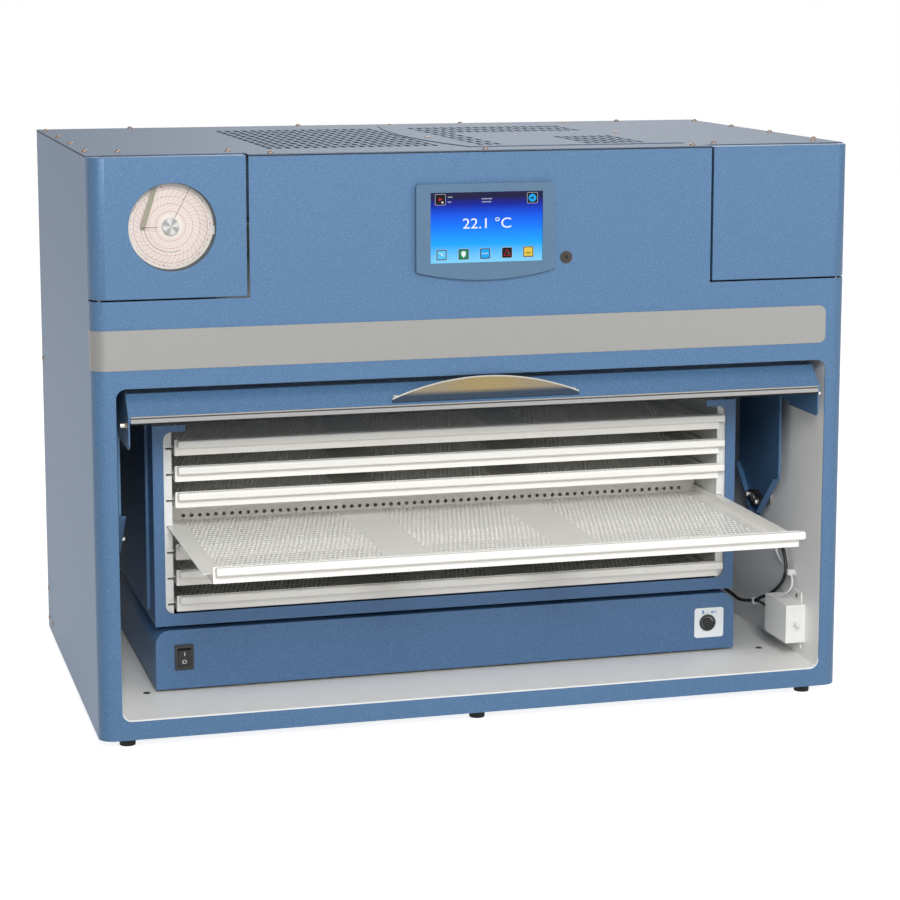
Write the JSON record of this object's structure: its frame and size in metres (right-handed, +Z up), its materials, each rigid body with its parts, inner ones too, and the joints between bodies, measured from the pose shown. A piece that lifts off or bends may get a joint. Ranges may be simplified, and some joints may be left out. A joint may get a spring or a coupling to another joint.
{
  "type": "platelet agitator",
  "caption": "Countertop incubator cabinet with a flatbed agitator inside: swing-up visor door, sliding wire-mesh drawers, touch screen and chart recorder.",
  "frame": {"origin": "centre of the resting envelope, on the plane under the feet", "axes": "+X to the cabinet's right seen from the front, +Y from the front towards the rear, +Z up"},
  "size_m": [1.044, 0.8, 0.7814],
  "materials": {
    "blue_paint": "satin metallic",
    "lid_paint": "satin metallic",
    "agitator_paint": "satin",
    "white_paint": "satin",
    "drawer_white": "satin",
    "band_metal": "brushed",
    "zinc_steel": "satin",
    "strip_metal": "brushed",
    "handle_metal": "satin",
    "black_plastic": "matte",
    "black_rubber": "matte",
    "white_plastic": "satin",
    "bezel_plastic": "satin",
    "screen": "gloss",
    "clear_pane": "gloss",
    "foam": "matte",
    "paper": "matte",
    "arm_tan": "satin",
    "board_green": "gloss",
    "fin_aluminium": "satin"
  },
  "bodies": {
    "cabinet": {"cabinet_shell": "blue_paint", "base_pan": "blue_paint", "rear_panel": "lid_paint", "top_lid": "lid_paint", "service_cover": "lid_paint", "panel_screws": "zinc_steel", "feet": "black_rubber", "trim_band": "band_metal", "chamber_liner": "white_paint", "foam_insulation": "foam", "compartment_deck": "zinc_steel", "compressor": "black_plastic", "condenser": "fin_aluminium", "evaporator": "fin_aluminium", "plenum_cover": "white_paint", "control_board": "board_green", "power_supply": "zinc_steel", "power_inlet": "black_plastic", "screen_bezel": "bezel_plastic", "touch_screen": "screen", "lock_body": "zinc_steel", "recorder_case": "black_plastic", "backup_battery": "black_plastic", "hinge_pins": "zinc_steel", "switch_box": "white_paint", "switch_leads": "black_plastic", "agitator_cover": "agitator_paint", "agitator_chassis": "zinc_steel", "guide_rods": "zinc_steel", "gear_motor": "black_plastic", "rocker_frames": "black_plastic"},
    "condenser_fan": {"condenser_fan": "black_plastic"},
    "circulation_fan": {"circulation_fan": "black_plastic"},
    "key": {"key_barrel": "zinc_steel"},
    "chart": {"chart_paper": "paper", "chart_hub": "zinc_steel"},
    "pen": {"pen_arm": "arm_tan"},
    "chart_door": {"chart_door": "blue_paint", "chart_window": "clear_pane"},
    "access_door": {"access_door": "blue_paint"},
    "visor": {"visor_skin": "blue_paint", "visor_window": "clear_pane", "visor_trim": "strip_metal", "visor_handle": "handle_metal", "visor_arms": "blue_paint", "pivot_blocks": "black_plastic"},
    "plunger": {"switch_plunger": "white_plastic"},
    "crank": {"drive_crank": "zinc_steel"},
    "power_switch": {"power_rocker": "black_plastic"},
    "alarm_switch": {"alarm_rocker": "black_plastic"},
    "carriage": {"carriage_frame": "agitator_paint", "carriage_runners": "white_plastic", "drawer_guides": "white_plastic"},
    "drawer_1": {"drawer_1": "drawer_white"},
    "drawer_2": {"drawer_2": "drawer_white"},
    "drawer_3": {"drawer_3": "drawer_white"},
    "drawer_4": {"drawer_4": "drawer_white"},
    "drawer_5": {"drawer_5": "drawer_white"},
    "drawer_6": {"drawer_6": "drawer_white"},
    "drawer_7": {"drawer_7": "drawer_white"}
  },
  "joints": [
    {"name": "condenser_fan_spin", "type": "hinge", "parent": "cabinet", "child": "condenser_fan", "pos_m": [0.3, 0.368, 0.675], "axis": [0, 1, 0], "continuous": true},
    {"name": "circulation_fan_spin", "type": "hinge", "parent": "cabinet", "child": "circulation_fan", "pos_m": [0, 0.307, 0.493], "axis": [0, 1, 0], "continuous": true},
    {"name": "key_turn", "type": "hinge", "parent": "cabinet", "child": "key", "pos_m": [0.1128, -0.21, 0.6335], "axis": [0, 1, 0], "range_deg": [0, 90]},
    {"name": "chart_spin", "type": "hinge", "parent": "cabinet", "child": "chart", "pos_m": [-0.414, -0.201, 0.6868], "axis": [0, 1, 0], "continuous": true},
    {"name": "pen_swing", "type": "hinge", "parent": "cabinet", "child": "pen", "pos_m": [-0.429, -0.202, 0.753], "axis": [0, 1, 0], "range_deg": [-12, 12]},
    {"name": "chart_door_swing", "type": "hinge", "parent": "cabinet", "child": "chart_door", "pos_m": [-0.508, -0.206, 0.686], "axis": [0, 0, -1], "range_deg": [0, 105]},
    {"name": "access_door_swing", "type": "hinge", "parent": "cabinet", "child": "access_door", "pos_m": [0.508, -0.206, 0.686], "axis": [0, 0, 1], "range_deg": [0, 105]},
    {"name": "door_swing", "type": "hinge", "parent": "cabinet", "child": "visor", "pos_m": [0, -0.03, 0.249], "axis": [1, 0, 0], "range_deg": [0, 90]},
    {"name": "plunger_press", "type": "slide", "parent": "cabinet", "child": "plunger", "axis": [0, 1, 0], "range_m": [0, 0.006], "stiffness_N_per_m": 300, "springref_m": -0.002},
    {"name": "carriage_slide", "type": "slide", "parent": "cabinet", "child": "carriage", "axis": [1, 0, 0], "range_m": [-0.019, 0.019]},
    {"name": "crank_turn", "type": "hinge", "parent": "cabinet", "child": "crank", "pos_m": [-0.01, 0.097, 0.115], "axis": [0, 0, 1], "range_deg": [-90, 90]},
    {"name": "power_rocker_tilt", "type": "hinge", "parent": "cabinet", "child": "power_switch", "pos_m": [-0.3898, -0.0985, 0.0898], "axis": [1, 0, 0], "range_deg": [-14, 0]},
    {"name": "alarm_rocker_tilt", "type": "hinge", "parent": "cabinet", "child": "alarm_switch", "pos_m": [0.368, -0.0985, 0.0855], "axis": [1, 0, 0], "range_deg": [-14, 0]},
    {"name": "drawer_1_slide", "type": "slide", "parent": "carriage", "child": "drawer_1", "axis": [0, 1, 0], "range_m": [-0.29, 0]},
    {"name": "drawer_2_slide", "type": "slide", "parent": "carriage", "child": "drawer_2", "axis": [0, 1, 0], "range_m": [-0.29, 0]},
    {"name": "drawer_3_slide", "type": "slide", "parent": "carriage", "child": "drawer_3", "axis": [0, 1, 0], "range_m": [-0.29, 0]},
    {"name": "drawer_4_slide", "type": "slide", "parent": "carriage", "child": "drawer_4", "axis": [0, 1, 0], "range_m": [0, 0.29]},
    {"name": "drawer_5_slide", "type": "slide", "parent": "carriage", "child": "drawer_5", "axis": [0, 1, 0], "range_m": [-0.29, 0]},
    {"name": "drawer_6_slide", "type": "slide", "parent": "carriage", "child": "drawer_6", "axis": [0, 1, 0], "range_m": [-0.29, 0]},
    {"name": "drawer_7_slide", "type": "slide", "parent": "carriage", "child": "drawer_7", "axis": [0, 1, 0], "range_m": [-0.29, 0]}
  ],
  "couplings": [
    {"joint": "crank_turn", "follows": "carriage_slide", "rad_per_m": 82.673},
    {"joint": "drawer_4_slide", "follows": "door_swing", "m_per_rad": 0.18462}
  ]
}
